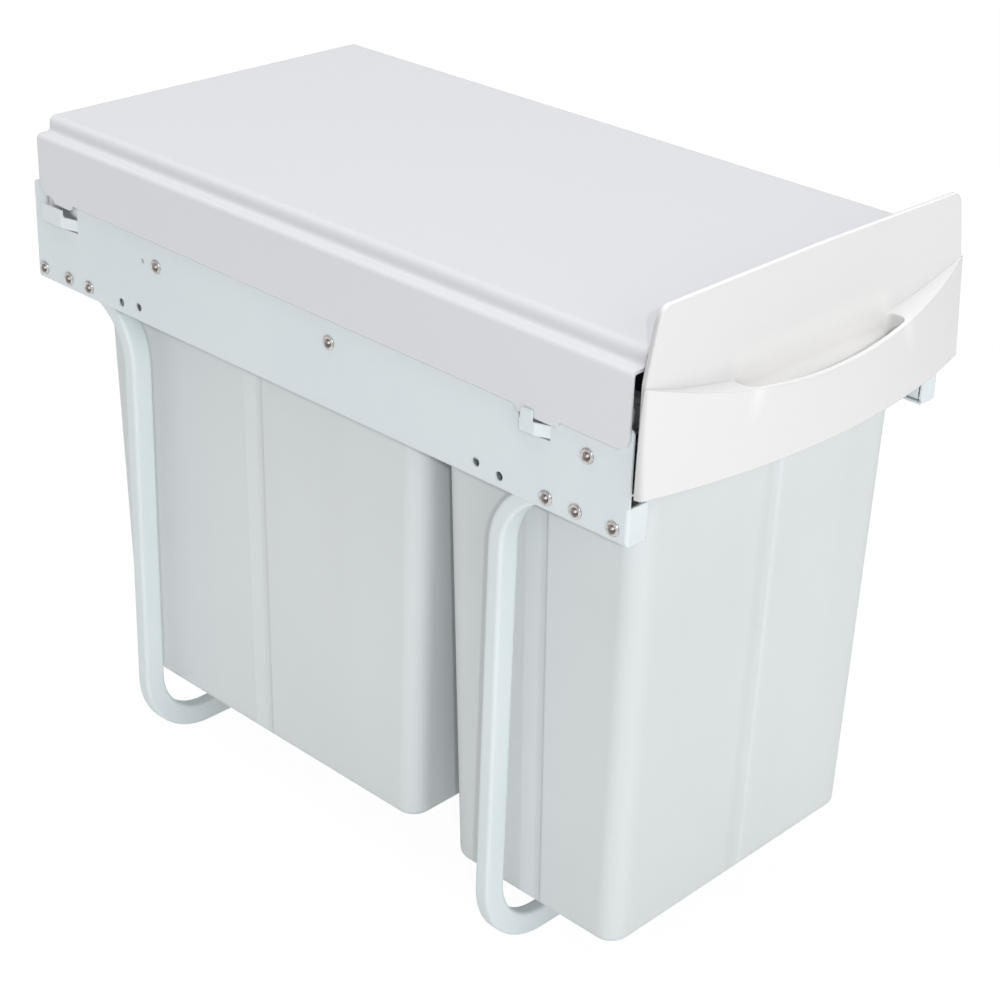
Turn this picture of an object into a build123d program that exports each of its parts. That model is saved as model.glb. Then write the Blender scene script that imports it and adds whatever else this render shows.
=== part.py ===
from build123d import *
import os
from math import cos, radians, sin, sqrt

# Pull-out double waste bin for a 300 mm kitchen cabinet, modelled closed.
# Two sheet-steel side plates stand on two bent tube hoops and carry a fixed lid.
# Ball-bearing slides inside the plates carry a drawer frame with two hanging bins
# and a moulded handle panel. All sizes are in millimetres.
# While a piece is modelled, X runs across the frame, Y runs back from the front end
# of the side plates, and Z runs up from their lower edge.

# Whole frame
frame_width = 252.0
plate_length = 455.0
plate_height = 60.0
stand_drop = 289.0
sheet = 1.2
cut_over = 2.0

# Side plate folds and corners
flange_width = 14.0
tab_height = 20.0
tab_corner = 4.0
fold_radius = 2.0
plate_corner = 3.0

# Hoop tube and its bends
tube_width = 13.5
tube_depth = 9.5
tube_wall = 1.3
tube_corner = 2.0
bend_radius = 40.0
front_hoop_inset = 85.2
rear_hoop_inset = 79.5
leg_end_gap = 0.8
notch_gap = 3.0
floor_hole_spacing = 120.0
floor_hole_radius = 2.75
driver_hole_radius = 4.5

# Hoop rivets, counted from each end of the plate
rivet_row_height = 7.0
front_rivet_first = 9.1
rear_rivet_first = 5.2
rivet_steps = (23.3, 19.0)

# Blind rivet
rivet_head_radius = 4.1
rivet_head_height = 1.0
rivet_rim = 0.35
rivet_dish_radius = 2.4
rivet_shank_radius = 2.3
rivet_hole_gap = 0.05
rivet_bore_radius = 1.0
rivet_tail_radius = 2.6
rivet_tail_height = 1.0
rivet_flush_radius = 3.3

# Slide rivets, pilot hole and side screw holes, counted from the plate's front end
slide_rivet_places = (27.0, 204.2, 344.9)
pilot_hole_place = 357.0
pilot_hole_radius = 1.5
side_hole_radius = 2.5
low_hole_front = 82.3
low_hole_rear = 377.7
low_hole_height = 7.0
side_hole_step = 15.8
side_hole_rise = 2.0

# Lid clips pressed out of the side plates
clip_offset = 2.3
clip_bottom = 37.0
clip_slot = 1.4
clip_root_height = 45.0
rear_clip_start = 415.5
rear_clip_end = 444.5
rear_clip_bend = 11.5
rear_clip_top = 49.0
rear_window_top = 53.5
relief_width = 10.5
front_clip_start = 50.5
front_clip_end = 71.0
front_clip_bend = 7.5
front_clip_back_bend = 3.5
finger_start = 59.5
finger_end = 67.0
finger_top = 50.5
front_window_top = 52.0

# Lid
lid_front = 1.5
lid_rear = 447.0
lid_wall = 1.8
lid_side_gap = 0.2
lid_top = 97.5
lid_top_width = 237.5
lid_ledge_height = 89.0
lid_crown_radius = 7.0
lid_cove_radius = 2.6
lid_edge_radius = 3.0
skirt_rear_height = 54.0
skirt_front_height = 49.0
skirt_corner_radius = 7.0
tongue_drop = 3.2
tongue_corner = 1.5
rear_tongue_start = 417.5
rear_tongue_end = 435.5
front_tongue_start = 44.0
front_tongue_end = 72.5
lid_rib_count = 4
lid_rib_height = 5.0
lid_rib_width = 1.6
lid_end_lip = 4.0

# Slide section, measured inwards from the side plate and up from the slide's middle
slide_height_place = 38.0
slide_front = 2.0
slide_length = 450.0
slide_travel = 430.0
ball_radius = 2.2
ball_play = 0.3
outer_ball_depth = 6.3
outer_ball_rise = 16.4
inner_ball_depth = 7.2
middle_web_depth = 2.4
slide_depth = 12.6
cup_half_angle = 35.0
retainer_sheet = 0.5
retainer_gap = 0.3
retainer_hole_gap = 0.1
retainer_inset = 109.0
retainer_length = 210.0
ball_count = 5
retainer_end = 12.0
member_inset = 1.0
stop_length = 8.5
stop_gap = 0.3
stop_height = 18.0
stop_radius = 3.0
slide_slot_length = 22.0
slide_slot_width = 6.5
slide_slot_places = (120.0, 290.0)

# Drawer frame
rail_front = 1.0
rail_rear = 441.0
rail_bottom = 24.0
rail_top = 62.0
rail_flange = 7.6
cross_sheet = 1.5
front_bar_gap = 0.6
front_bar_bottom = 27.0
ear_length = 20.0
bin_clearance = 1.0
cross_bar_drop = 16.0
rail_screw_places = (30.0, 221.0, 400.0)
rail_screw_radius = 2.0
rail_screw_head_radius = 4.0
rail_screw_head_height = 1.9
rail_screw_end = 1.6
ear_rivet_places = (6.8, 15.4)
ear_rivet_height = 52.0

# Bins
bin_half_width = 103.6
bin_draft_across = 3.2
bin_wall = 2.0
bin_floor = 2.4
bin_corner = 12.0
bin_floor_radius = 5.0
bin_top = 66.0
bin_rim_width = 4.6
bin_rim_wall = 1.8
front_bin_front = 9.4
front_bin_rear = 148.6
front_bin_bottom = -254.0
front_bin_front_draft = 2.6
front_bin_rear_draft = 17.5
rear_bin_front = 159.6
rear_bin_rear = 429.0
rear_bin_bottom = -250.0
rear_bin_front_draft = 2.4
rear_bin_rear_draft = 12.5
groove_width = 15.0
groove_depth = 1.6
groove_steep = 2.0
groove_gentle = 9.0
groove_margin = 14.0

# Handle panel
handle_width = 258.0
handle_rear = -2.0
handle_wall = 2.5
handle_top = 120.5
handle_bottom = 28.0
panel_top_width = 236.0
panel_crown = 1.2
panel_corner_radius = 9.0
panel_flare_height = 84.0
panel_flare_width = 251.0
bulge_top = 90.0
bulge_centre_depth = 24.0
bulge_end_depth = 6.2
bulge_lean = 4.6
bulge_corner_radius = 4.5
bulge_hidden_depth = 10.0
lip_height = 63.5
lip_radius = 435.0
pocket_half_width = 63.0
pocket_floor = 44.0
pocket_cove_start = 60.0
pocket_cove_depth = 8.0
pocket_corner_radius = 9.0
pocket_end_radius = 5.0
lip_wall = 3.0
boss_radius = 5.0
boss_hole_radius = 1.6
boss_place = 88.0
boss_heights = (40.0, 54.0)
handle_rib = 1.6
handle_rib_spacing = 26.0
handle_screw_radius = 1.5
handle_screw_length = 9.0
handle_screw_head_radius = 3.6
handle_screw_head_height = 1.8

# Places that follow from the sizes above
plate_out = frame_width / 2
plate_in = plate_out - sheet
tube_x = plate_in - tube_width / 2
front_hoop_y = front_hoop_inset
rear_hoop_y = plate_length - rear_hoop_inset
hoop_mid_y = (front_hoop_y + rear_hoop_y) / 2
slide_rear = slide_front + slide_length
race_radius = ball_radius + ball_play
race_back = race_radius + sheet
inner_ball_rise = outer_ball_rise - 2 * race_radius - sheet
home = Pos(0, -hoop_mid_y, stand_drop)


def block(x0, x1, y0, y1, z0, z1):
    """A block between three pairs of coordinates."""
    size = Box(abs(x1 - x0), abs(y1 - y0), abs(z1 - z0))
    return Pos((x0 + x1) / 2, (y0 + y1) / 2, (z0 + z1) / 2) * size


def along_x(sketch, x0, x1):
    """Extrude a (Y, Z) sketch from x0 to x1."""
    return extrude(Pos(x0, 0, 0) * (Plane.YZ * sketch), amount=x1 - x0, dir=(1, 0, 0))


def along_y(sketch, y0, y1):
    """Extrude an (X, Z) sketch from y0 to y1."""
    return extrude(Pos(0, y0, 0) * (Plane.XZ * sketch), amount=y1 - y0, dir=(0, 1, 0))


def along_z(sketch, z0, z1):
    """Extrude an (X, Y) sketch from z0 to z1."""
    return extrude(Pos(0, 0, z0) * sketch, amount=z1 - z0, dir=(0, 0, 1))


def outline(points, radii):
    """A closed outline with a round of its own at each corner."""
    return make_face(FilletPolyline(*points, radius=radii, close=True))


def pin_x(radius, x0, x1, y, z):
    """A round bar along X."""
    return along_x(Pos(y, z) * Circle(radius), x0, x1)


def other_side(shape):
    """The same piece for the other side of the frame."""
    return mirror(shape, about=Plane.YZ)


def hoop_rivet_places():
    """Y of the rivets that hold the front and the rear hoop."""
    front = [front_rivet_first]
    rear = [plate_length - rear_rivet_first]
    for step in rivet_steps:
        front.append(front[-1] + step)
        rear.append(rear[-1] - step)
    return front, rear


def side_hole_places():
    """(Y, Z) of the screw holes left open in a side plate."""
    high = low_hole_height + side_hole_rise
    return [
        (low_hole_front, low_hole_height),
        (low_hole_front + side_hole_step, high),
        (low_hole_rear, low_hole_height),
        (low_hole_rear - side_hole_step, high),
    ]


def flange_notch(hoop_y, ahead):
    """Y range in which a hoop's bend comes down through the plate's flange."""
    centre_y = hoop_y + ahead * bend_radius
    centre_z = rivet_row_height - bend_radius
    near = sqrt((bend_radius - tube_depth / 2) ** 2 - (sheet - centre_z) ** 2)
    far = sqrt((bend_radius + tube_depth / 2) ** 2 - centre_z**2)
    first = centre_y - ahead * (near - notch_gap)
    last = centre_y - ahead * (far + notch_gap)
    return min(first, last), max(first, last)


def clip_strip(start, end, start_bend, end_bend, bottom, top):
    """Sheet strip that swings out of the plate to clip_offset and back."""
    gap = plate_out + clip_offset
    inner = [(plate_out - sheet, start), (gap, start + start_bend)]
    outer = [(gap + sheet, start + start_bend), (plate_out, start)]
    if end_bend:
        inner += [(gap, end - end_bend), (plate_out - sheet, end)]
        outer = [(plate_out, end), (gap + sheet, end - end_bend)] + outer
    else:
        inner.append((gap, end))
        outer = [(gap + sheet, end)] + outer
    return along_z(Polygon(*(inner + outer), align=None), bottom, top)


def rear_clip():
    """Tongue on the plate's rear that holds the lid's skirt, free at its rear end."""
    strip = clip_strip(
        rear_clip_start, rear_clip_end, rear_clip_bend, 0, clip_bottom + clip_slot, rear_clip_top
    )
    relief = outline(
        [
            (rear_clip_start - cut_over, clip_root_height),
            (rear_clip_start + relief_width, clip_root_height),
            (rear_clip_start + relief_width, rear_window_top),
            (rear_clip_start - cut_over, rear_window_top),
        ],
        [0, clip_slot, 0, 0],
    )
    return strip - along_x(relief, plate_in - cut_over, plate_out + 2 * clip_offset)


def front_clip():
    """Bridge on the plate's front with a finger, which holds the skirt there."""
    bridge = clip_strip(
        front_clip_start,
        front_clip_end,
        front_clip_bend,
        front_clip_back_bend,
        clip_bottom + clip_slot,
        clip_root_height,
    )
    face = plate_out + clip_offset
    finger = outline(
        [
            (finger_start, clip_root_height - cut_over),
            (finger_end, clip_root_height - cut_over),
            (finger_end, finger_top),
            (finger_start, finger_top),
        ],
        [0, 0, clip_slot, clip_slot],
    )
    return bridge + along_x(finger, face, face + sheet)


def plate_web():
    """Flat of the side plate with its clip windows."""
    corners = [(0, 0), (plate_length, 0), (plate_length, plate_height), (0, plate_height)]
    web = along_x(outline(corners, [0, plate_corner, plate_corner, plate_corner]), plate_in, plate_out)
    web -= block(
        plate_in - cut_over,
        plate_out + cut_over,
        rear_clip_start,
        rear_clip_end,
        clip_bottom,
        rear_window_top,
    )
    web -= block(
        plate_in - cut_over,
        plate_out + cut_over,
        front_clip_start,
        front_clip_end,
        clip_bottom,
        front_window_top,
    )
    return web


def plate_flange():
    """Flange under the side plate, open where the hoops come through."""
    flange = block(plate_out - flange_width, plate_out, 0, plate_length, 0, sheet)
    for hoop_y, ahead in ((front_hoop_y, -1), (rear_hoop_y, 1)):
        first, last = flange_notch(hoop_y, ahead)
        flange -= block(
            plate_out - flange_width - cut_over, plate_in, first, last, -cut_over, 2 * cut_over
        )
    return flange


def plate_tab():
    """Tab folded across the front end, in front of the hoop's leg."""
    inner = plate_out - flange_width
    tab = outline(
        [(inner, 0), (plate_out, 0), (plate_out, tab_height), (inner, tab_height)],
        [tab_corner, 0, 0, fold_radius],
    )
    return along_y(tab, 0, sheet)


def corner_waste(x, y):
    """Sketch of what a rounded fold leaves off a square outer corner at (x, y)."""
    square = Pos(x - fold_radius / 2, y + fold_radius / 2) * Rectangle(fold_radius, fold_radius)
    return square - Pos(x - fold_radius, y + fold_radius) * Circle(fold_radius)


def round_folds(plate):
    """Round the outer edges of the bottom fold and the front fold."""
    waste = corner_waste(plate_out, 0)
    plate -= along_y(waste, -cut_over, plate_length + cut_over)
    return plate - along_z(waste, -cut_over, tab_height)


def side_plate():
    """Right side plate with folds, clips, rivet holes and screw holes."""
    plate = plate_web() + plate_flange() + plate_tab()
    plate = round_folds(plate)
    plate += rear_clip()
    plate += front_clip()
    front, rear = hoop_rivet_places()
    rivets = [(y, rivet_row_height) for y in front + rear]
    rivets += [(y, slide_height_place) for y in slide_rivet_places]
    holes = [(y, z, rivet_shank_radius + rivet_hole_gap) for y, z in rivets]
    holes += [(y, z, side_hole_radius) for y, z in side_hole_places()]
    holes.append((pilot_hole_place, slide_height_place, pilot_hole_radius))
    for y, z, radius in holes:
        plate -= pin_x(radius, plate_in - cut_over, plate_out + cut_over, y, z)
    return plate


def tube_section(shrink):
    """Rounded tube section, smaller by shrink on every side."""
    width = tube_width - 2 * shrink
    depth = tube_depth - 2 * shrink
    return RectangleRounded(width, depth, tube_corner - shrink)


def hoop_path(hoop_y, leg_end, past):
    """Centre line of a hoop: leg, down, across the floor, up and the other leg."""
    floor_z = tube_width / 2 - stand_drop
    end = leg_end + past
    points = [
        (tube_x, end, rivet_row_height),
        (tube_x, hoop_y, rivet_row_height),
        (tube_x, hoop_y, floor_z),
        (-tube_x, hoop_y, floor_z),
        (-tube_x, hoop_y, rivet_row_height),
        (-tube_x, end, rivet_row_height),
    ]
    return FilletPolyline(*points, radius=bend_radius)


def hoop(hoop_y, leg_end, rivets, outward):
    """One bent tube hoop with its rivet holes and floor screw holes."""
    path = hoop_path(hoop_y, leg_end, 0)
    start = Plane(origin=path @ 0, x_dir=(1, 0, 0), z_dir=path % 0)
    tube = sweep(start * tube_section(0), path=path)
    inner_path = hoop_path(hoop_y, leg_end, outward * cut_over)
    inner_start = Plane(origin=inner_path @ 0, x_dir=(1, 0, 0), z_dir=inner_path % 0)
    tube -= sweep(inner_start * tube_section(tube_wall), path=inner_path)
    for y in rivets:
        for side in (-1, 1):
            inside = side * (plate_in - tube_wall - cut_over)
            outside = side * (plate_in + cut_over)
            tube -= pin_x(
                rivet_shank_radius + rivet_hole_gap,
                min(inside, outside),
                max(inside, outside),
                y,
                rivet_row_height,
            )
    for side in (-1, 1):
        spot = Pos(side * floor_hole_spacing / 2, hoop_y)
        low = -stand_drop - cut_over
        middle = -stand_drop + tube_width / 2
        high = -stand_drop + tube_width + cut_over
        tube -= along_z(spot * Circle(floor_hole_radius), low, middle)
        tube -= along_z(spot * Circle(driver_hole_radius), middle, high)
    return tube


def rivet(y, z, grip, tail_radius, tail_height):
    """Blind rivet through the right side plate, its dished head outside."""
    rim = rivet_head_radius - rivet_rim
    points = [
        (rivet_bore_radius, rivet_rim),
        (rivet_dish_radius, rivet_rim),
        (rim, rivet_head_height),
        (rivet_head_radius, rivet_rim),
        (rivet_head_radius, 0),
        (rivet_shank_radius, 0),
        (rivet_shank_radius, tail_height - grip),
        (tail_radius, -grip),
        (rivet_bore_radius, -grip - min(tail_height, 0)),
    ]
    if tail_height < 0:
        points[-3:] = [
            (rivet_shank_radius, -grip),
            (tail_radius, tail_height / 2 - grip),
            (rivet_shank_radius, tail_height - grip),
            (rivet_bore_radius, tail_height - grip),
        ]
    profile = Polygon(*points, align=None)
    turned = revolve(Plane.XZ * profile, axis=Axis.Z)
    return Pos(plate_out, y, z) * Rot(0, 90, 0) * turned


def hoop_rivets():
    """The twelve rivets between plates and hoops."""
    front, rear = hoop_rivet_places()
    grip = sheet + tube_wall
    solids = []
    for y in front + rear:
        one = rivet(y, rivet_row_height, grip, rivet_tail_radius, -rivet_tail_height)
        solids += [one, other_side(one)]
    return solids


def slide_rivets():
    """The six rivets of the slides, their tails flush in countersinks."""
    solids = []
    for y in slide_rivet_places:
        one = rivet(y, slide_height_place, 2 * sheet, rivet_flush_radius, sheet / 2)
        solids += [one, other_side(one)]
    return solids


def section_point(depth, rise):
    """Sketch point of the slide section for the right side."""
    return plate_in - depth, slide_height_place + rise


def cup(depth, rise, first, last):
    """Part of a curled race round a ball, between two angles in degrees."""
    steps = 6
    inner = []
    outer = []
    for step in range(steps + 1):
        angle = radians(first + (last - first) * step / steps)
        inner.append(section_point(depth + race_radius * cos(angle), rise + race_radius * sin(angle)))
        outer.append(section_point(depth + race_back * cos(angle), rise + race_back * sin(angle)))
    return Polygon(*(inner + outer[::-1]), align=None)


def section_bar(depth0, depth1, rise0, rise1):
    """Rectangle of the slide section."""
    x0, z0 = section_point(depth0, rise0)
    x1, z1 = section_point(depth1, rise1)
    return Pos((x0 + x1) / 2, (z0 + z1) / 2) * Rectangle(abs(x1 - x0), abs(z1 - z0))


def both_halves(upper):
    """Add the lower half of a slide section to its upper half."""
    flipped = mirror(upper, about=Plane(origin=(0, slide_height_place, 0), z_dir=(0, 1, 0)))
    return upper + flipped


def fixed_section():
    """Section of the slide member that is riveted to the side plate."""
    top = outer_ball_rise + race_back
    upper = section_bar(0, sheet, 0, top)
    upper += section_bar(0, outer_ball_depth, top - sheet, top)
    upper += cup(outer_ball_depth, outer_ball_rise, 0, 90)
    return both_halves(upper)


def middle_section():
    """Section of the middle slide member."""
    top = inner_ball_rise + race_back
    upper = section_bar(middle_web_depth, middle_web_depth + sheet, 0, top)
    upper += section_bar(middle_web_depth, inner_ball_depth, top - sheet, top)
    upper += cup(inner_ball_depth, inner_ball_rise, 0, 90)
    return both_halves(upper)


def moving_section():
    """Section of the slide member that the drawer is screwed to."""
    top = inner_ball_rise - race_radius
    upper = section_bar(slide_depth - sheet, slide_depth, 0, top)
    upper += section_bar(inner_ball_depth, slide_depth, top - sheet, top)
    upper += cup(inner_ball_depth, inner_ball_rise, 270 - cup_half_angle, 270 + cup_half_angle)
    return both_halves(upper)


def slot_along_y(y, depth):
    """Slot through one slide web, long way along Y."""
    slot = Pos(y, slide_height_place) * SlotOverall(slide_slot_length, slide_slot_width)
    x = plate_in - depth
    return along_x(slot, x - sheet - cut_over / 4, x + cut_over / 4)


def slide_fixed():
    """Outer slide member, with countersunk rivet holes."""
    member = along_y(fixed_section(), slide_front, slide_rear)
    hole = rivet_shank_radius + rivet_hole_gap
    sink = rivet_flush_radius + rivet_hole_gap
    for y in slide_rivet_places:
        member -= pin_x(hole, plate_in - 2 * sheet, plate_in + cut_over, y, slide_height_place)
        profile = Polygon((0, 0), (hole, 0), (sink, sheet / 2), (0, sheet / 2), align=None)
        cone = revolve(Plane.XZ * profile, axis=Axis.Z)
        member -= Pos(plate_in - sheet / 2, y, slide_height_place) * Rot(0, -90, 0) * cone
    return member


def slide_middle():
    """Middle slide member with two lightening slots."""
    member = along_y(middle_section(), slide_front + member_inset, slide_rear - stop_length - stop_gap)
    for y in slide_slot_places:
        member -= slot_along_y(y, middle_web_depth)
    return member


def slide_moving():
    """Inner slide member, drilled for the rail screws."""
    member = along_y(moving_section(), slide_front + member_inset, slide_rear - stop_length - stop_gap)
    for y in rail_screw_places:
        x = plate_in - slide_depth
        member -= pin_x(rail_screw_radius, x - cut_over, x + 2 * cut_over, y, slide_height_place)
    return member


def slide_stop():
    """Rubber block in the rear of the fixed member that both others stop against."""
    stop = outline(
        [
            (slide_rear - stop_length, slide_height_place - stop_height / 2),
            (slide_rear, slide_height_place - stop_height / 2),
            (slide_rear, slide_height_place + stop_height / 2),
            (slide_rear - stop_length, slide_height_place + stop_height / 2),
        ],
        stop_radius,
    )
    return along_x(stop, plate_in - slide_depth + sheet, plate_in - sheet)


def retainer(web_depth, ball_depth, ball_rise):
    """Sheet cage that keeps two rows of balls apart, with round ball pockets."""
    reach = ball_depth + ball_radius - retainer_sheet / 2
    rise = ball_rise + retainer_sheet / 2
    upper = section_bar(web_depth, web_depth + retainer_sheet, 0, rise)
    upper += section_bar(web_depth, reach, rise - retainer_sheet, rise)
    start = slide_front + retainer_inset
    cage = along_y(both_halves(upper), start, start + retainer_length)
    for place in ball_places(ball_depth, ball_rise):
        pocket = Cylinder(ball_radius + retainer_hole_gap, 2 * ball_radius)
        cage -= Pos(*place) * pocket
    return cage


def ball_places(ball_depth, ball_rise):
    """Centres of the balls in one cage of the right slide."""
    start = slide_front + retainer_inset + retainer_end
    pitch = (retainer_length - 2 * retainer_end) / (ball_count - 1)
    places = []
    for row in (-1, 1):
        x, z = section_point(ball_depth, row * ball_rise)
        places += [(x, start + pitch * count, z) for count in range(ball_count)]
    return places


def balls(ball_depth, ball_rise):
    """The steel balls of one cage of both slides."""
    solids = []
    for x, y, z in ball_places(ball_depth, ball_rise):
        solids += [Pos(side * x, y, z) * Sphere(ball_radius) for side in (-1, 1)]
    return solids


def lid_profile():
    """Closed outer outline of the lid's cross section."""
    half = plate_out + lid_side_gap + lid_wall
    low = clip_bottom
    crown = lid_top_width / 2
    points = [
        (half, low),
        (half, lid_ledge_height),
        (crown, lid_ledge_height),
        (crown, lid_top),
        (-crown, lid_top),
        (-crown, lid_ledge_height),
        (-half, lid_ledge_height),
        (-half, low),
    ]
    rounds = [lid_edge_radius, lid_cove_radius, lid_crown_radius - lid_cove_radius]
    return outline(points, [0] + rounds + rounds[::-1] + [0])


def lid_side_outline():
    """Side view of the lid: sloping skirt with a tongue at each clip."""
    slope = (skirt_rear_height - skirt_front_height) / (lid_rear - lid_front)
    points = [(lid_front, skirt_front_height)]
    radii = [skirt_corner_radius]
    for start, end in ((front_tongue_start, front_tongue_end), (rear_tongue_start, rear_tongue_end)):
        edge = skirt_front_height + slope * (start - lid_front)
        points += [(start, edge), (start + tongue_drop / 2, edge - tongue_drop)]
        edge = skirt_front_height + slope * (end - lid_front)
        points += [(end - tongue_drop / 2, edge - tongue_drop), (end, edge)]
        radii += [tongue_corner] * 4
    high = lid_top + cut_over
    points += [(lid_rear, skirt_rear_height), (lid_rear, high), (lid_front, high)]
    radii += [skirt_corner_radius, 0, 0]
    return outline(points, radii)


def lid():
    """Moulded cover that stays in the cabinet when the drawer comes out."""
    profile = lid_profile()
    inner = offset(profile, amount=-lid_wall)
    shell = along_y(profile, lid_front, lid_rear)
    hollow = along_y(inner, lid_front - cut_over, lid_rear + cut_over)
    mouth = plate_out + lid_side_gap
    hollow += block(
        -mouth, mouth, lid_front - cut_over, lid_rear + cut_over, clip_bottom - cut_over, clip_root_height
    )
    shell -= hollow
    shell &= along_x(lid_side_outline(), -frame_width, frame_width)
    under = lid_top - lid_wall
    span = lid_top_width / 2 - lid_crown_radius
    pitch = (lid_rear - lid_front) / (lid_rib_count + 1)
    for count in range(lid_rib_count):
        y = lid_front + pitch * (count + 1)
        shell += block(
            -span, span, y - lid_rib_width / 2, y + lid_rib_width / 2, under - lid_rib_height, under
        )
    return shell


def rail():
    """Right drawer rail: upright against the slide, flange under the bin rims."""
    face = plate_in - slide_depth
    upright = outline(
        [
            (rail_front, rail_bottom),
            (rail_rear, rail_bottom),
            (rail_rear, rail_top),
            (rail_front, rail_top),
        ],
        [plate_corner, plate_corner, 0, 0],
    )
    shape = along_x(upright, face - sheet, face)
    shape += block(face - rail_flange, face, rail_front, rail_rear, rail_top - sheet, rail_top)
    edge = shape.edges().filter_by(Axis.Y).group_by(Axis.Z)[-1].group_by(Axis.X)[-1]
    shape = fillet(edge, sheet)
    for y in rail_screw_places:
        shape -= pin_x(
            rail_screw_radius, face - sheet - cut_over, face + cut_over, y, slide_height_place
        )
    hole = rivet_shank_radius + rivet_hole_gap
    for y in ear_rivet_places:
        shape -= pin_x(hole, face - sheet - cut_over, face + cut_over, y, ear_rivet_height)
    return shape


def cross_width():
    """Half width between the two drawer rails."""
    return plate_in - slide_depth - sheet


def front_bar():
    """Front cross bar: plate behind the handle, top flange and two side ears."""
    half = cross_width()
    front = -front_bar_gap
    back = front + cross_sheet
    bar = block(-half, half, front, back, front_bar_bottom, rail_top)
    flange_half = plate_in - slide_depth - rail_flange - bin_clearance / 2
    bar += block(
        -flange_half, flange_half, front, front_bin_front - bin_clearance, rail_top - cross_sheet, rail_top
    )
    hole = rivet_shank_radius + rivet_hole_gap
    for side in (-1, 1):
        inside = side * (half - cross_sheet)
        ear = block(
            inside, side * half, front, ear_length, front_bar_bottom, rail_top - cross_sheet - bin_clearance
        )
        bar += ear
        ends = sorted((inside - side * cut_over, side * (half + cut_over)))
        for y in ear_rivet_places:
            bar -= pin_x(hole, ends[0], ends[1], y, ear_rivet_height)
        for z in boss_heights:
            bar -= Pos(side * boss_place, 0, z) * Rot(90, 0, 0) * Cylinder(
                handle_screw_radius, 2 * cut_over
            )
    return bar


def cross_bar(start, end):
    """Channel between the rails that carries the rims of a bin."""
    half = cross_width()
    flange_half = plate_in - slide_depth - rail_flange - bin_clearance / 2
    bar = block(-flange_half, flange_half, start, end, rail_top - cross_sheet, rail_top)
    low = rail_top - cross_bar_drop
    for y in (start, end - cross_sheet):
        bar += block(-half, half, y, y + cross_sheet, low, rail_top - cross_sheet)
    return bar


def middle_bar():
    """Cross bar in the gap between the two bins."""
    return cross_bar(front_bin_rear + bin_clearance, rear_bin_front - bin_clearance)


def rear_bar():
    """Cross bar behind the rear bin, at the ends of the rails."""
    return cross_bar(rear_bin_rear + bin_clearance, rail_rear)


def ear_rivets():
    """Rivets that hold the front bar's ears to the rails."""
    face = plate_in - slide_depth
    grip = sheet + cross_sheet
    solids = []
    for y in ear_rivet_places:
        one = rivet(y, ear_rivet_height, grip, rivet_tail_radius, -rivet_tail_height)
        turned = Pos(face - plate_out - grip, 0, 0) * one
        flipped = mirror(turned, about=Plane(origin=(face - grip, 0, 0), z_dir=(1, 0, 0)))
        solids += [flipped, other_side(flipped)]
    return solids


def rail_screws():
    """Pan-head screws that join the rails to the inner slide members."""
    face = plate_in - slide_depth
    inside = face - sheet
    solids = []
    for y in rail_screw_places:
        shank = pin_x(rail_screw_radius - rivet_hole_gap, inside, face + rail_screw_end, y, slide_height_place)
        head = pin_x(
            rail_screw_head_radius, inside - rail_screw_head_height, inside, y, slide_height_place
        )
        rim = head.edges().group_by(Axis.X)[0]
        screw = shank + fillet(rim, rail_screw_head_height / 2)
        solids += [screw, other_side(screw)]
    return solids


def bin_face(front, rear, half, corner, z):
    """Rounded plan of a bin at one height."""
    plan = RectangleRounded(2 * half, rear - front, corner)
    return Pos(0, (front + rear) / 2, z) * plan


def bin_body(top, bottom, drafts, shrink, low, high):
    """Tapered bin form between two heights, smaller by shrink on every side."""
    faces = []
    for z in (low, high):
        down = (bin_top - z) / (bin_top - bottom)
        front = top[0] + drafts[0] * down + shrink
        rear = top[1] - drafts[1] * down - shrink
        half = bin_half_width - bin_draft_across * down - shrink
        faces.append(bin_face(front, rear, half, bin_corner - shrink, z))
    return loft(faces)


def groove_plan(across, inward):
    """Plan of one face groove about (0, 0), open towards +Y, deeper by inward."""
    half = across / 2
    deep = groove_depth
    points = [
        (-half, groove_depth),
        (-half, -inward),
        (groove_steep - half, -deep - inward),
        (half - groove_gentle, -deep - inward),
        (half, -inward),
        (half, groove_depth),
    ]
    return Polygon(*points, align=None)


def bin_grooves(top, bottom, drafts, inward, low, high):
    """Upright grooves in the middle of the four walls, following their slopes."""
    across = groove_width + 2 * inward
    grooves = []
    for turn in (0, 90, 180, 270):
        faces = []
        for z in (low, high):
            down = (bin_top - z) / (bin_top - bottom)
            front = top[0] + drafts[0] * down
            rear = top[1] - drafts[1] * down
            half = bin_half_width - bin_draft_across * down
            middle = (front + rear) / 2
            reach = (rear - front) / 2 if turn in (0, 180) else half
            spot = Pos(0, middle, z) * Rot(0, 0, turn) * Pos(0, reach)
            faces.append(spot * groove_plan(across, inward))
        grooves.append(loft(faces, ruled=True))
    return grooves


def bin_rim(top, bottom, drafts):
    """Rolled rim round the mouth: shelf outwards and a short skirt down."""
    low = rail_top
    half = bin_half_width + bin_rim_width
    front = top[0] - bin_rim_width
    rear = top[1] + bin_rim_width
    corner = bin_corner + bin_rim_width
    outer = along_z(bin_face(front, rear, half, corner, 0), low, bin_top)
    inner = bin_face(
        front + bin_rim_wall, rear - bin_rim_wall, half - bin_rim_wall, corner - bin_rim_wall, 0
    )
    rim = outer - along_z(inner, low - cut_over, bin_top - bin_rim_wall)
    rim = fillet(rim.edges().group_by(Axis.Z)[-1], bin_rim_wall / 2)
    return rim


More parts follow.
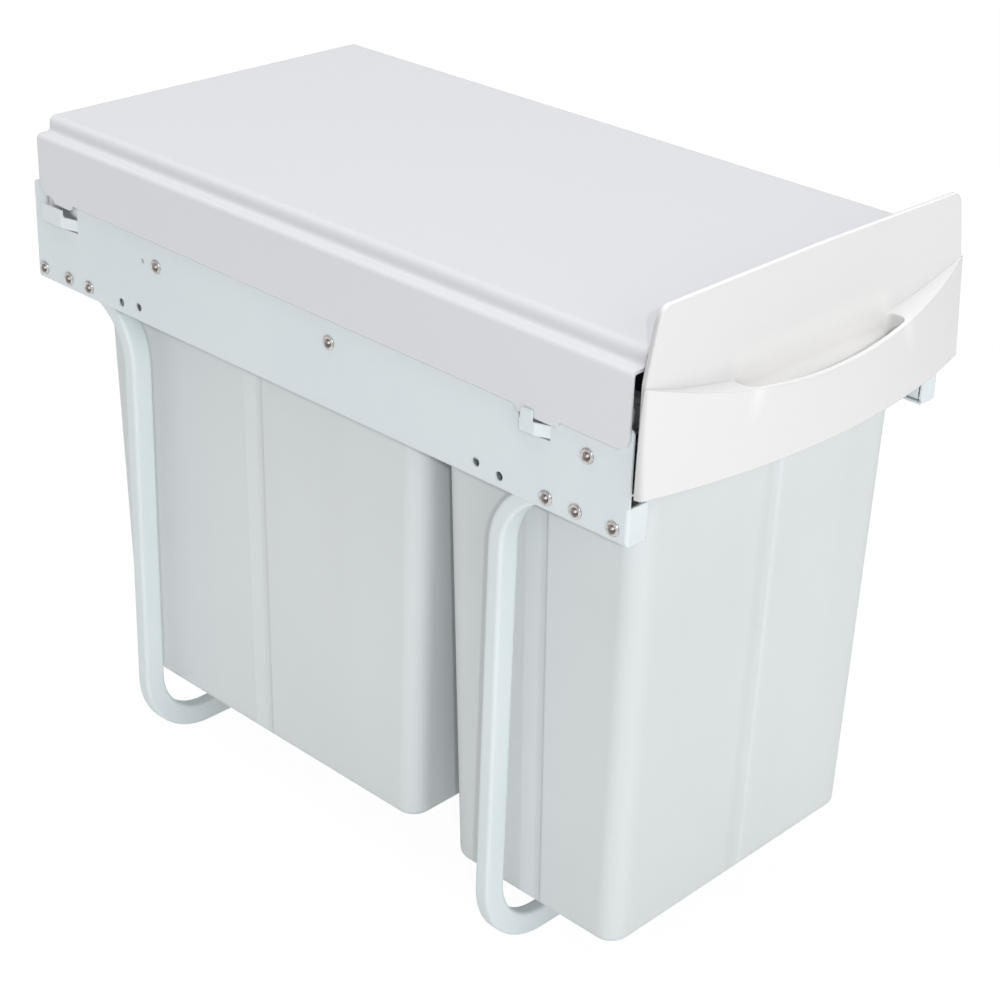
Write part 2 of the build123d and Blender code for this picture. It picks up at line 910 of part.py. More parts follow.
def waste_bin(front, rear, bottom, drafts):
    """One hanging bin: tapered shell, wall grooves and rolled rim."""
    top = (front, rear)
    shell = bin_body(top, bottom, drafts, 0, bottom, bin_top)
    shell = fillet(shell.edges().group_by(Axis.Z)[0], bin_floor_radius)
    low = bottom - cut_over
    high = rail_top - groove_margin
    for groove in bin_grooves(top, bottom, drafts, 0, low, high):
        shell -= groove
    shell += bin_rim(top, bottom, drafts)
    hollow = bin_body(top, bottom, drafts, bin_wall, bottom + bin_floor, bin_top + cut_over)
    floor_edges = hollow.edges().group_by(Axis.Z)[0]
    hollow = fillet(floor_edges, bin_floor_radius - bin_wall)
    for groove in bin_grooves(top, bottom, drafts, bin_wall, low, high + bin_wall):
        hollow -= groove
    return shell - hollow


def handle_plan(inset, lean, z):
    """Plan of the handle's bulge at one height, with its bowed front."""
    half = handle_width / 2 - inset
    end = handle_rear - bulge_end_depth + lean + inset
    middle = handle_rear - bulge_centre_depth + lean + inset
    back = handle_rear + bulge_hidden_depth
    sides = Polyline((half, end), (half, back), (-half, back), (-half, end))
    plan = make_face(sides + ThreePointArc((-half, end), (0, middle), (half, end)))
    corners = plan.vertices().group_by(Axis.Y)[0]
    return Pos(0, 0, z) * fillet(corners, bulge_corner_radius - inset)


def handle_bulge(inset, low, high, back):
    """Bowed lower body of the handle, leaning back a little towards its top."""
    faces = []
    for z in (low, high):
        lean = bulge_lean * (z - handle_bottom) / (bulge_top - handle_bottom)
        faces.append(handle_plan(inset, lean, z))
    body = loft(faces, ruled=True)
    behind = handle_rear + 2 * bulge_hidden_depth
    return body - block(-handle_width, handle_width, back, behind, low - cut_over, high + cut_over)


def lip_cutter(grow):
    """Long cylinder across the handle whose underside gives the smile of the lip."""
    disc = Pos(0, lip_height + lip_radius) * Circle(lip_radius + grow)
    return along_y(disc, handle_rear - 2 * bulge_centre_depth, handle_rear + bulge_centre_depth)


def handle_board():
    """Flat upper panel that stands above the lip, seen from the front."""
    top = panel_top_width / 2
    flare = panel_flare_width / 2
    crown = handle_top - panel_crown
    points = [
        (-flare, panel_flare_height),
        (-top, crown),
        (0, handle_top),
        (top, crown),
        (flare, panel_flare_height),
        (flare, pocket_floor),
        (-flare, pocket_floor),
    ]
    arc_radius = lip_radius * 2
    radii = [panel_corner_radius, panel_corner_radius, arc_radius, panel_corner_radius]
    radii += [panel_corner_radius, 0, 0]
    board = along_y(outline(points, radii), handle_rear - handle_wall, handle_rear)
    front = board.faces().sort_by(Axis.Y)[0]
    rim = [edge for edge in front.edges() if edge.center().Z > panel_flare_height]
    return fillet(rim, handle_wall / 3)


def pocket_section(grow):
    """Side view of the finger pocket, with a cove under the panel."""
    back = handle_rear - handle_wall + grow
    low = pocket_floor - grow
    front = handle_rear - 2 * bulge_centre_depth
    points = [
        (back, bulge_top + 2 * cut_over),
        (back, pocket_cove_start),
        (back - pocket_cove_depth, low),
        (front, low),
        (front, bulge_top + 2 * cut_over),
    ]
    radii = [0, pocket_corner_radius, pocket_corner_radius, 0, 0]
    return outline(points, radii)


def pocket_plan(grow):
    """Plan of the finger pocket: flat back, bowed front and round corners."""
    half = pocket_half_width + grow
    rise = bulge_centre_depth - bulge_end_depth
    bow = ((handle_width / 2) ** 2 + rise**2) / (2 * rise)
    lean = bulge_lean * (lip_height - handle_bottom) / (bulge_top - handle_bottom)
    middle = handle_rear - bulge_centre_depth + lean + lip_wall - grow
    end = middle + bow - sqrt(bow**2 - half**2)
    back = handle_rear - handle_wall + grow
    sides = Polyline((half, end), (half, back), (-half, back), (-half, end))
    plan = make_face(sides + ThreePointArc((-half, end), (0, middle), (half, end)))
    return fillet(plan.vertices(), pocket_end_radius + grow)


def pocket(grow):
    """Finger pocket behind the lip, with a cove under the panel."""
    half = pocket_half_width + grow
    cove = along_x(pocket_section(grow), -half - cut_over, half + cut_over)
    return cove & along_z(pocket_plan(grow), pocket_floor - grow - cut_over, bulge_top + cut_over)


def handle_bosses():
    """Screw bosses and ribs behind the front wall."""
    pieces = []
    room = handle_bulge(handle_wall / 2, handle_bottom, bulge_top, -front_bar_gap)
    room -= lip_cutter(handle_wall / 2)
    for side in (-1, 1):
        for z in boss_heights:
            reach = 2 * bulge_centre_depth
            boss = Pos(side * boss_place, 0, z) * Rot(90, 0, 0) * Cylinder(boss_radius, reach)
            pieces.append(boss & room)
        for step in (-1, 0, 1):
            x = side * boss_place + step * handle_rib_spacing
            rib = block(
                x - handle_rib / 2,
                x + handle_rib / 2,
                handle_rear - bulge_centre_depth,
                handle_rear - handle_wall,
                handle_bottom,
                bulge_top,
            )
            if abs(x) < handle_width / 2 - handle_wall:
                pieces.append(rib & room)
    return pieces


def handle_panel():
    """Moulded handle: upright panel, bowed lower body, smile lip and finger pocket."""
    back = handle_rear - handle_wall
    body = handle_bulge(0, handle_bottom, bulge_top, back)
    body -= lip_cutter(0)
    cavity = handle_bulge(handle_wall, handle_bottom + handle_wall, bulge_top, back + cut_over)
    cavity -= lip_cutter(handle_wall)
    cavity -= pocket(handle_wall)
    shell = body - cavity
    shell += handle_board()
    for piece in handle_bosses():
        shell += piece
    shell -= pocket(0)
    for side in (-1, 1):
        for z in boss_heights:
            hole = Cylinder(boss_hole_radius, 2 * handle_screw_length)
            shell -= Pos(side * boss_place, 0, z) * Rot(90, 0, 0) * hole
    return shell


def handle_screws():
    """Screws through the front bar into the handle's bosses."""
    back = cross_sheet - front_bar_gap
    solids = []
    for side in (-1, 1):
        for z in boss_heights:
            shank = Cylinder(handle_screw_radius, handle_screw_length)
            shank = Pos(0, 0, -handle_screw_length / 2) * shank
            head = Pos(0, 0, handle_screw_head_height / 2) * Cylinder(
                handle_screw_head_radius, handle_screw_head_height
            )
            head = fillet(head.edges().group_by(Axis.Z)[-1], handle_screw_head_height / 2)
            spot = Pos(side * boss_place, back, z) * Rot(-90, 0, 0)
            solids.append(spot * (shank + head))
    return solids


def export(name, shape):
    """Write one node, moved to the frame whose origin is on the floor."""
    if isinstance(shape, list):
        shape = Compound(children=[home * solid for solid in shape])
    else:
        shape = home * shape
    export_step(shape, f"parts/{name}.step")


def export_pair(name, shape):
    """Write the right piece and its mirror image for the left side."""
    export(name + "_right", shape)
    export(name + "_left", other_side(shape))


def main():
    """Build every piece and write one STEP file for each node."""
    os.makedirs("parts", exist_ok=True)
    front_rivets, rear_rivets = hoop_rivet_places()
    export_pair("side_plate", side_plate())
    export("hoop_front", hoop(front_hoop_y, sheet + leg_end_gap, front_rivets, -1))
    export("hoop_rear", hoop(rear_hoop_y, plate_length - leg_end_gap, rear_rivets, 1))
    export("hoop_rivets", hoop_rivets())
    export("slide_rivets", slide_rivets())
    export_pair("slide_outer", slide_fixed())
    export_pair("slide_middle", slide_middle())
    export_pair("slide_inner", slide_moving())
    export_pair("slide_stop", slide_stop())
    outer_web = sheet + retainer_gap
    inner_web = middle_web_depth + sheet + retainer_gap
    export_pair("outer_ball_cage", retainer(outer_web, outer_ball_depth, outer_ball_rise))
    export_pair("inner_ball_cage", retainer(inner_web, inner_ball_depth, inner_ball_rise))
    export("outer_balls", balls(outer_ball_depth, outer_ball_rise))
    export("inner_balls", balls(inner_ball_depth, inner_ball_rise))
    export("lid", lid())
    export_pair("drawer_rail", rail())
    export("drawer_front_bar", front_bar())
    export("drawer_middle_bar", middle_bar())
    export("drawer_rear_bar", rear_bar())
    export("drawer_rivets", ear_rivets())
    export("rail_screws", rail_screws())
    front_drafts = (front_bin_front_draft, front_bin_rear_draft)
    rear_drafts = (rear_bin_front_draft, rear_bin_rear_draft)
    export("bin_front", waste_bin(front_bin_front, front_bin_rear, front_bin_bottom, front_drafts))
    export("bin_rear", waste_bin(rear_bin_front, rear_bin_rear, rear_bin_bottom, rear_drafts))
    export("handle_panel", handle_panel())
    export("handle_screws", handle_screws())


if __name__ == "__main__":
    main()
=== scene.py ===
import math

import bmesh
import bpy
from mathutils import Matrix, Vector


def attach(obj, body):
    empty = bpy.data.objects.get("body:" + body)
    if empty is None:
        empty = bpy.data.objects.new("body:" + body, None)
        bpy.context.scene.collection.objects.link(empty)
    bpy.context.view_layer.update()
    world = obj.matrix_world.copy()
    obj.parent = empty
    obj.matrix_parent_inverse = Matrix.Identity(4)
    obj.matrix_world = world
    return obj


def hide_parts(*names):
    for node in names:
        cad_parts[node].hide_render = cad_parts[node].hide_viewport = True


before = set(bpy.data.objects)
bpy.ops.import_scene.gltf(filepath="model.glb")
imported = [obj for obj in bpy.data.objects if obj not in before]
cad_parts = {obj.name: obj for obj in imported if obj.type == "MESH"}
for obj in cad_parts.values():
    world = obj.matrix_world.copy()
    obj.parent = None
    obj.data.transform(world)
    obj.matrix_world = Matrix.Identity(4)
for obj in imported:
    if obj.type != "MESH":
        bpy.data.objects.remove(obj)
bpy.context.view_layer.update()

# Places in metres, in the CAD frame: origin between the floor screws, front towards -Y.
PLATE_FACE = 0.126
PLATE_FRONT = -0.23035
PLATE_FOOT = 0.289

# Rivet places on both side plates: depth behind the plates' front edge, height over their foot.
HOOP_RIVET_DEPTHS = (0.0091, 0.0324, 0.0514, 0.4075, 0.4265, 0.4498)
HOOP_RIVET_HEIGHT = 0.007
SLIDE_RIVET_DEPTHS = (0.027, 0.2042, 0.3449)
SLIDE_RIVET_HEIGHT = 0.038

# Blind rivet, each part as (radius, height over the plate's face).
RIVET_HEAD = [
    (0.00105, -0.0004), (0.00125, 0.00005), (0.0016, 0.00028), (0.0020, 0.00048), (0.0024, 0.00072),
    (0.0028, 0.00092), (0.0031, 0.0010), (0.0034, 0.00096), (0.0037, 0.00080), (0.00395, 0.00054),
    (0.0041, 0.00024), (0.0041, 0.0), (0.0023, 0.0)]
BULGED_TAIL = [
    (0.0023, -0.0025), (0.0026, -0.0030), (0.0023, -0.0035), (0.00105, -0.0035), (0.00105, -0.0004)]
FLUSH_TAIL = [(0.0023, -0.0018), (0.0033, -0.0024), (0.00105, -0.0024), (0.00105, -0.0004)]
MANDREL_STUB = [
    (0.0, 0.00045), (0.0004, 0.0004), (0.0008, 0.0002), (0.0010, -0.0002), (0.0010, -0.0022),
    (0.0, -0.0022)]
DISH_RADIUS = 0.0022
RIVET_STEPS = 28
MANDREL_STEPS = 16

# The handle: width of its eased edges, and where the painted light inside its finger pocket fades in or
# out, as heights over the plates' foot, depths behind the plates' front edge and half widths.
EASED_EDGE = 0.0009
POCKET_TOP = (0.055, 0.090)
POCKET_FRONT = (-0.0205, -0.0185)
POCKET_END = (0.056, 0.068)

# Reach of softened edges in shading.
FOLD_EDGE = 0.0005
MOULDED_EDGE = 0.0008
BIN_EDGE = 0.0018
TUBE_EDGE = 0.0024
# The bulge's reach is how far the handle's painted side shade is softened.
BULGE_SHADE_EDGE = 0.0035

# The photograph's camera: angles in degrees, lens and sensor in millimetres.
CAMERA_TURN = -47.1
CAMERA_LIFT = 27.1
CAMERA_ROLL = 2.2
CAMERA_SPOT = (-0.8289, -0.5723 + PLATE_FRONT, 0.4857 + PLATE_FOOT)
LENS = 80.0
SENSOR = 36.0

# Lamps as (name, place, side length in metres, watts, seen in reflections), and what they face.
LAMPS = (
    ("far flash beside the camera", (-3.646, -3.91, 2.92), 0.10, 85.0, True),
    ("front softbox", (-0.9, -2.6, 1.2), 2.0, 24.0, False),
    ("top softbox", (0.1, 0.3, 2.9), 2.4, 47.0, False),
)
LIT_MIDDLE = (0.0, 0.0, 0.2)
ROOM_LIGHT = 0.38
FLOOR_HALF_SIZE = 9.0
FLOOR_GLOW = 1.03

# Shares of the plain white background that the camera sees on the floor, and that reflections show.
FLOOR_WHITE = 0.93
MIRRORED_WHITE = 0.30


class Value:
    """A node socket that Python's own arithmetic works on."""

    def __init__(self, nodes, socket):
        self.nodes = nodes
        self.socket = socket

    def math(self, operation, *others):
        return self.nodes.node("ShaderNodeMath", {"operation": operation}, {
            i: other for i, other in enumerate((self,) + others)})

    def __add__(self, other):
        return self.math("ADD", other)

    def __mul__(self, other):
        return self.math("MULTIPLY", other)

    def __rsub__(self, other):
        return self.nodes.node("ShaderNodeMath", {"operation": "SUBTRACT"}, {0: other, 1: self})

    __radd__ = __add__
    __rmul__ = __mul__

    def above(self, low, high):
        """0 below low, 1 over high, smooth between."""
        return self.nodes.node("ShaderNodeMapRange", {"interpolation_type": "SMOOTHSTEP"}, {
            "Value": self, "From Min": low, "From Max": high})

    def part(self, axis):
        """The x, y or z of a vector, as axis 0, 1 or 2."""
        return self.nodes.node("ShaderNodeSeparateXYZ", {}, {"Vector": self}, axis)


class Nodes:
    """The node tree of a material or a world."""

    def __init__(self, tree):
        self.tree = tree

    def node(self, kind, settings, inputs, output=0):
        made = self.tree.nodes.new(kind)
        for key, value in settings.items():
            setattr(made, key, value)
        self.feed(made, inputs)
        return Value(self, made.outputs[output])

    def feed(self, made, inputs):
        for key, value in inputs.items():
            if isinstance(value, Value):
                self.tree.links.new(value.socket, made.inputs[key])
            else:
                made.inputs[key].default_value = value

    def white_share(self, camera_share):
        """How much of the plain white background a ray sees here, by the ray's kind."""
        camera, glossy, through = (
            self.node("ShaderNodeLightPath", {}, {}, kind)
            for kind in ("Is Camera Ray", "Is Glossy Ray", "Is Transmission Ray"))
        return camera * camera_share + (glossy + through) * MIRRORED_WHITE

    def mix_shaders(self, amount, first, second, target):
        """Feed a target node's surface from two shaders."""
        both = self.node("ShaderNodeMixShader", {}, {0: amount, 1: first, 2: second})
        self.feed(self.tree.nodes[target], {"Surface": both})


class Finish(Nodes):
    """One procedural material. Its patterns read Object coordinates, in metres."""

    def __init__(self, name):
        self.material = bpy.data.materials.new(name)
        self.material.use_nodes = True
        super().__init__(self.material.node_tree)
        self.surface = self.tree.nodes["Principled BSDF"]
        self.place = self.node("ShaderNodeTexCoord", {}, {}, "Object")

    def set(self, **inputs):
        self.feed(self.surface, {key.replace("_", " "): value for key, value in inputs.items()})

    def stretched(self, scale, turn=(0, 0, 0)):
        return self.node("ShaderNodeMapping", {}, {
            "Vector": self.place, "Scale": scale, "Rotation": turn})

    def noise(self, scale, detail=2.0, rough=0.5, at=None, warp=0.0):
        return self.node("ShaderNodeTexNoise", {}, {
            "Vector": at or self.place, "Scale": scale, "Detail": detail,
            "Roughness": rough, "Distortion": warp})

    def soft_normal(self, radius, samples=6):
        """The surface's direction, with every edge softened by a radius."""
        return self.node("ShaderNodeBevel", {"samples": samples}, {"Radius": radius})

    def blend(self, amount, first, second):
        """Mix two colours. The numbers are the Mix node's colour sockets."""
        return self.node("ShaderNodeMix", {"data_type": "RGBA", "clamp_factor": True}, {
            0: amount, 6: first, 7: second}, 2)

    def bump(self, height, depth, strength, soft_edge=0.0):
        """Relief of the given depth in metres, on edges softened by a small radius."""
        inputs = {"Height": height, "Distance": depth, "Strength": strength}
        if soft_edge:
            inputs["Normal"] = self.soft_normal(soft_edge)
        self.set(Normal=self.node("ShaderNodeBump", {}, inputs))


def rgb(red, green, blue):
    return (red, green, blue, 1.0)


def grey(level, tint=(1.0, 1.0, 1.0)):
    return rgb(level * tint[0], level * tint[1], level * tint[2])


def powder_coat(name, colour, shade, soft_edge=FOLD_EDGE):
    """Baked powder paint on folded steel: orange peel, faint cloudiness, fine specks."""
    paint = Finish(name)
    cloud = paint.noise(14.0, detail=3.0, rough=0.55)
    peel = paint.noise(950.0)
    coarse_peel = paint.noise(330.0, detail=1.0, rough=0.4)
    speck = paint.noise(2600.0, detail=1.0).above(0.70, 0.78)
    speck_tone = grey(0.60, (1.0, 1.02, 1.04))
    tone = paint.blend(cloud.above(0.35, 0.70), colour, shade)
    paint.set(Base_Color=paint.blend(speck * 0.35, tone, speck_tone))
    paint.set(Roughness=0.36 + 0.10 * cloud + 0.05 * peel, Coat_Roughness=0.30)
    paint.bump(peel + 1.6 * coarse_peel, 0.00016, 0.22, soft_edge)
    return paint.material


def handle_painted_light_and_shade(plastic, tone, painted_pocket_light):
    """Painted shade where the handle's bulge turns sideways, and painted light inside its finger pocket."""
    sideways_shade_mask = plastic.soft_normal(BULGE_SHADE_EDGE, samples=8).part(0).math("ABSOLUTE")
    # Painted shade: faces turning sideways blend towards a mid grey.
    tone = plastic.blend(sideways_shade_mask.above(0.30, 1.0), tone, grey(0.58))
    # Painted light: under the top, behind the lip and between the ends the pocket is lighter.
    across, along, up = (plastic.place.part(axis) for axis in range(3))
    under_top = 1.0 - up.above(*(PLATE_FOOT + height for height in POCKET_TOP))
    behind_lip = along.above(*(PLATE_FRONT + depth for depth in POCKET_FRONT))
    between_ends = 1.0 - across.math("ABSOLUTE").above(*POCKET_END)
    return plastic.blend(under_top * behind_lip * between_ends, tone, painted_pocket_light)


def gloss_moulding(name, colour, shade, painted_top_light, rough, painted_pocket_light=None):
    """Polished injection moulding: slow waviness, faint flow tone, fine dust and wipe marks, and painted
    light on faces turned upwards.
    """
    plastic = Finish(name)
    flow = plastic.noise(6.0, at=plastic.stretched((1.0, 0.35, 1.0)), warp=0.4)
    wave = plastic.noise(22.0, detail=1.0, rough=0.4)
    dust = plastic.noise(1700.0, detail=1.0).above(0.68, 0.80)
    wiped = plastic.stretched((1.0, 7.0, 7.0), (0.0, 0.0, 0.5))
    wipe = plastic.noise(60.0, detail=3.0, rough=0.6, at=wiped).above(0.40, 0.85)
    tone = plastic.blend(flow.above(0.30, 0.75), colour, shade)
    # Painted light: faces turned upwards blend to a lighter tone.
    upward_light_mask = plastic.soft_normal(0.0004 + MOULDED_EDGE).part(2)
    tone = plastic.blend(upward_light_mask.above(0.45, 0.85), tone, painted_top_light)
    # On the handle: painted shade on the bulge's sides and painted light in its pocket.
    if painted_pocket_light:
        tone = handle_painted_light_and_shade(plastic, tone, painted_pocket_light)
    plastic.set(Base_Color=tone, Roughness=rough + 0.025 * wipe + 0.05 * dust, IOR=1.52)
    plastic.bump(wave + 0.03 * dust, 0.00045, 0.30, MOULDED_EDGE)
    return plastic.material


def satin_bin(name, level):
    """Satin polypropylene: fine mould grain, faint vertical flow lines, cloudy tone drift."""
    plastic = Finish(name)
    column = plastic.noise(28.0, rough=0.55, at=plastic.stretched((1.0, 1.0, 0.06)))
    cloud = plastic.noise(5.0, detail=3.0)
    grain = plastic.noise(1400.0, rough=0.6)
    scratched = plastic.stretched((1.0, 1.0, 6.0))
    scuff = plastic.noise(90.0, detail=4.0, rough=0.65, at=scratched).above(0.66, 0.80)
    # The level scales the whole tone; a level below 1 makes a darker copy of the same plastic, painted
    # shade.
    light, middle, dark = (
        grey(share * level, (0.947, 0.998, 1.010)) for share in (0.755, 0.728, 0.704))
    tone = plastic.blend(cloud.above(0.3, 0.7), middle, light)
    tone = plastic.blend(column.above(0.45, 0.75) * 0.35, tone, dark)
    plastic.set(Base_Color=plastic.blend(scuff * 0.12, tone, grey(0.85 * level)))
    plastic.set(Roughness=0.34 + 0.10 * grain + 0.08 * scuff, IOR=1.49)
    plastic.bump(grain + 2.0 * column, 0.00012, 0.30, BIN_EDGE)
    return plastic.material


def zinc_plate():
    """Bright zinc on rolled slide steel: drawing lines along Y, spangle and grease-dulled patches."""
    metal = Finish("zinc plate")
    lines = metal.noise(900.0, rough=0.6, at=metal.stretched((1.0, 0.015, 1.0)))
    spangle = metal.node("ShaderNodeTexVoronoi", {"feature": "F1"}, {
        "Vector": metal.place, "Scale": 260.0}, "Distance")
    dull = metal.noise(35.0, detail=3.0, rough=0.6).above(0.40, 0.70)
    tone = metal.blend(dull, rgb(0.66, 0.67, 0.66), rgb(0.56, 0.555, 0.54))
    tone = metal.blend(spangle * 0.4, tone, rgb(0.78, 0.79, 0.80))
    metal.set(Base_Color=tone, Metallic=1.0, Roughness=0.26 + 0.12 * dull + 0.08 * lines)
    metal.bump(lines, 0.00008, 0.35, 0.0003)
    return metal.material


def rivet_nickel():
    """Nickelled rivet steel, mottled and worn bright in places."""
    metal = Finish("rivet nickel")
    mottle = metal.noise(700.0, detail=3.0, rough=0.6)
    worn = metal.noise(240.0).above(0.45, 0.65)
    tone = metal.blend(mottle.above(0.35, 0.65), rgb(0.70, 0.68, 0.66), rgb(0.46, 0.43, 0.41))
    tone = metal.blend(worn * 0.5, tone, rgb(0.88, 0.87, 0.86))
    metal.set(Base_Color=tone, Metallic=1.0, Roughness=0.20 + 0.16 * mottle)
    metal.bump(mottle, 0.00006, 0.4, 0.0002)
    return metal.material


def rivet_dish_shade():
    """Painted shade in the dish of a rivet: dark mottled steel on the faces round its bore."""
    metal = Finish("rivet dish shade")
    dish_mottle = metal.noise(900.0, detail=3.0, rough=0.6)
    tone = metal.blend(dish_mottle, rgb(0.17, 0.15, 0.15), rgb(0.40, 0.36, 0.34))
    metal.set(Base_Color=tone, Metallic=1.0, Roughness=0.30 + 0.15 * dish_mottle)
    metal.bump(dish_mottle, 0.00008, 0.5)
    return metal.material


def broken_mandrel():
    """Bright broken end of the steel mandrel in a rivet."""
    metal = Finish("rivet mandrel")
    broken = metal.noise(1800.0, detail=3.0, rough=0.7)
    tone = metal.blend(broken, rgb(0.80, 0.79, 0.78), rgb(0.96, 0.96, 0.95))
    metal.set(Base_Color=tone, Metallic=0.55, Roughness=0.25 + 0.2 * broken)
    metal.bump(broken, 0.0001, 0.7)
    return metal.material


def bearing_steel():
    """Ground and oiled bearing balls."""
    metal = Finish("bearing steel")
    haze = metal.noise(900.0)
    tone = metal.blend(haze, rgb(0.80, 0.80, 0.80), rgb(0.62, 0.62, 0.60))
    metal.set(Base_Color=tone, Metallic=1.0, Roughness=0.10 + 0.08 * haze)
    return metal.material


def stop_rubber():
    """Dull black rubber of the slide stops."""
    rubber = Finish("stop rubber")
    grain = rubber.noise(1500.0, detail=3.0, rough=0.6)
    bloom = rubber.noise(120.0).above(0.5, 0.7)
    tone = rubber.blend(bloom, rgb(0.022, 0.022, 0.023), rgb(0.055, 0.055, 0.056))
    rubber.set(Base_Color=tone, Roughness=0.62 + 0.15 * grain)
    rubber.bump(grain, 0.0001, 0.5)
    return rubber.material


def studio_white():
    """White sweep. The camera sees it nearly white, and it keeps the contact shadow."""
    floor = Finish("studio floor")
    wear = floor.noise(3.0)
    floor.set(Base_Color=floor.blend(wear, grey(0.90), grey(0.93)), Roughness=0.75 + 0.1 * wear)
    glow = floor.node("ShaderNodeEmission", {}, {"Color": grey(1.0), "Strength": FLOOR_GLOW})
    lit = Value(floor, floor.surface.outputs[0])
    floor.mix_shaders(floor.white_share(FLOOR_WHITE), lit, glow, "Material Output")
    return floor.material


def dress(material, *names):
    """Give CAD nodes a finish."""
    for name in names:
        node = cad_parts[name]
        node.data.materials.clear()
        node.data.materials.append(material)


def pair(name):
    return name + "_left", name + "_right"


def finishes():
    """Every CAD node gets its finish, but for the rivets that turned ones replace."""
    plate = powder_coat("plate paint", rgb(0.735, 0.795, 0.820), rgb(0.715, 0.780, 0.808))
    dress(plate, *pair("side_plate"), *pair("drawer_rail"))
    dress(plate, "drawer_front_bar", "drawer_middle_bar", "drawer_rear_bar")
    hoop = powder_coat("hoop paint", rgb(0.716, 0.780, 0.796), rgb(0.698, 0.764, 0.783), TUBE_EDGE)
    dress(hoop, "hoop_front", "hoop_rear")
    dress(rivet_nickel(), "drawer_rivets")
    zinc = zinc_plate()
    for name in ("slide_outer", "slide_middle", "slide_inner", "outer_ball_cage", "inner_ball_cage"):
        dress(zinc, *pair(name))
    dress(zinc, "rail_screws", "handle_screws")
    dress(bearing_steel(), "outer_balls", "inner_balls")
    dress(stop_rubber(), *pair("slide_stop"))
    # The third colour is painted light on upward faces: about the lid's own tone, much lighter on the
    # handle.
    dress(gloss_moulding(
        "lid gloss", rgb(0.732, 0.738, 0.770), rgb(0.718, 0.724, 0.756),
        rgb(0.730, 0.736, 0.768), 0.13), "lid")
    # The handle's last colour is painted light inside its pocket.
    dress(gloss_moulding(
        "handle gloss", rgb(0.776, 0.775, 0.773), rgb(0.762, 0.761, 0.760),
        rgb(0.90, 0.90, 0.90), 0.09, rgb(0.98, 0.975, 0.965)), "handle_panel")
    # The front bin is a darker copy of the same plastic: painted shade.
    dress(satin_bin("front bin satin", 0.955), "bin_front")
    dress(satin_bin("rear bin satin", 1.0), "bin_rear")


def ease_edges(name, width):
    """Moulded parts have no knife edges: round every edge sharper than 35 degrees."""
    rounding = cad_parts[name].modifiers.new("eased edges", "BEVEL")
    rounding.limit_method = "ANGLE"
    rounding.angle_limit = math.radians(35.0)
    rounding.width = width
    rounding.segments = 3
    rounding.harden_normals = True
    rounding.use_clamp_overlap = True


def new_object(name, mesh, material):
    """Finish a bmesh as an object at the origin."""
    data = bpy.data.meshes.new(name)
    mesh.to_mesh(data)
    mesh.free()
    data.materials.append(material)
    thing = bpy.data.objects.new(name, data)
    bpy.context.scene.collection.objects.link(thing)
    return thing


def rivet_piece(name, mesh, material):
    """A smooth turned piece that rides on the frame."""
    thing = new_object(name, mesh, material)
    for face in thing.data.polygons:
        face.use_smooth = True
    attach(thing, "frame")
    return thing


def turned(mesh, profile, spot, side, steps):
    """Spin a (radius, height) profile round X, its height pointing out of a plate's side."""
    rings = [
        mesh.verts.new((spot.x + side * height, spot.y, spot.z + radius))
        for radius, height in profile]
    edges = [mesh.edges.new(ends) for ends in zip(rings, rings[1:])]
    bmesh.ops.spin(mesh, geom=rings + edges, cent=spot, axis=(1, 0, 0),
                   angle=math.tau, steps=steps, use_merge=True)


def on_both_plates(profile, places, steps):
    """The same turned part at each (depth, height) place of both side plates."""
    mesh = bmesh.new()
    for depth, height in places:
        for side in (-1, 1):
            spot = Vector((side * PLATE_FACE, PLATE_FRONT + depth, PLATE_FOOT + height))
            turned(mesh, profile, spot, side, steps)
    bmesh.ops.remove_doubles(mesh, verts=mesh.verts, dist=1e-6)
    bmesh.ops.recalc_face_normals(mesh, faces=mesh.faces)
    return mesh


def darken_dishes(heads, places, dish_shade):
    """Put the painted dish shade on the faces close to the rivets' axes."""
    heads.data.materials.append(dish_shade)
    for face in heads.data.polygons:
        depth = face.center.y - PLATE_FRONT
        height = face.center.z - PLATE_FOOT
        if min(math.hypot(depth - place[0], height - place[1]) for place in places) < DISH_RADIUS:
            face.material_index = 1


def rivets():
    """Blind rivets with a rolled rim, a shallow dish and the broken mandrel in its bore."""
    hoop_places = [(depth, HOOP_RIVET_HEIGHT) for depth in HOOP_RIVET_DEPTHS]
    slide_places = [(depth, SLIDE_RIVET_HEIGHT) for depth in SLIDE_RIVET_DEPTHS]
    nickel = rivet_nickel()
    dish_shade = rivet_dish_shade()
    for name, places, tail in (
            ("hoop_rivets", hoop_places, BULGED_TAIL),
            ("slide_rivets", slide_places, FLUSH_TAIL)):
        mesh = on_both_plates(RIVET_HEAD + tail, places, RIVET_STEPS)
        heads = rivet_piece("turned_" + name, mesh, nickel)
        darken_dishes(heads, places, dish_shade)
        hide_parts(name)
    mesh = on_both_plates(MANDREL_STUB, hoop_places + slide_places, MANDREL_STEPS)
    rivet_piece("rivet_mandrels", mesh, broken_mandrel())


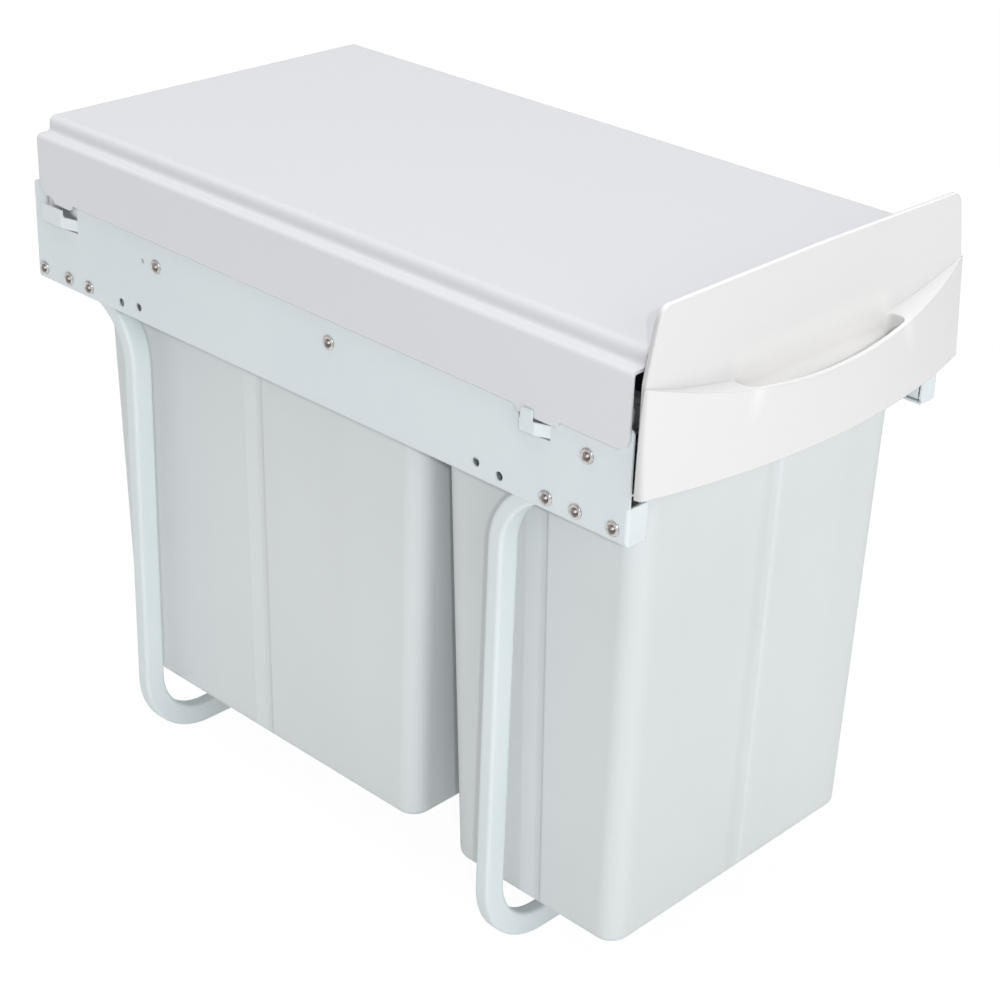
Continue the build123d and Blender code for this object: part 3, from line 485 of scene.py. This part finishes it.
def photo_camera(scene):
    """The camera of the photograph, rolled a little about its own axis."""
    turn, lift, roll = (math.radians(angle) for angle in (CAMERA_TURN, CAMERA_LIFT, CAMERA_ROLL))
    back = Vector((math.sin(turn) * math.cos(lift), -math.cos(turn) * math.cos(lift), math.sin(lift)))
    level = Vector((math.cos(turn), math.sin(turn), 0.0))
    up = back.cross(level)
    right = math.cos(roll) * level + math.sin(roll) * up
    top = math.cos(roll) * up - math.sin(roll) * level
    lens = bpy.data.cameras.new("photo camera")
    lens.sensor_width = SENSOR
    lens.lens = LENS
    lens.clip_start = 0.01
    camera = bpy.data.objects.new("photo camera", lens)
    scene.collection.objects.link(camera)
    camera.matrix_world = Matrix.Translation(CAMERA_SPOT) @ Matrix((right, top, back)).transposed().to_4x4()
    scene.camera = camera


def lamps(scene):
    for name, spot, size, power, mirrored in LAMPS:
        light = bpy.data.lights.new(name, "AREA")
        light.shape = "SQUARE"
        light.size = size
        light.energy = power
        lamp = bpy.data.objects.new(name, light)
        lamp.location = spot
        lamp.rotation_euler = (Vector(LIT_MIDDLE) - Vector(spot)).to_track_quat("-Z", "Y").to_euler()
        lamp.visible_glossy = mirrored
        scene.collection.objects.link(lamp)


def white_room(scene):
    """A world that lights softly and is plain white to the camera."""
    world = bpy.data.worlds.new("white room")
    world.use_nodes = True
    scene.world = world
    sky = Nodes(world.node_tree)
    soft, white = (
        sky.node("ShaderNodeBackground", {}, {"Color": grey(1.0), "Strength": strength})
        for strength in (ROOM_LIGHT, 1.0))
    sky.mix_shaders(sky.white_share(1.0), soft, white, "World Output")


def studio():
    """Camera, lamps, world and floor of the photograph."""
    scene = bpy.context.scene
    scene.view_settings.view_transform = "Standard"
    photo_camera(scene)
    lamps(scene)
    white_room(scene)
    ground = bmesh.new()
    bmesh.ops.create_grid(ground, x_segments=1, y_segments=1, size=FLOOR_HALF_SIZE)
    new_object("studio_floor", ground, studio_white())


studio()
finishes()
ease_edges("handle_panel", EASED_EDGE)
rivets()
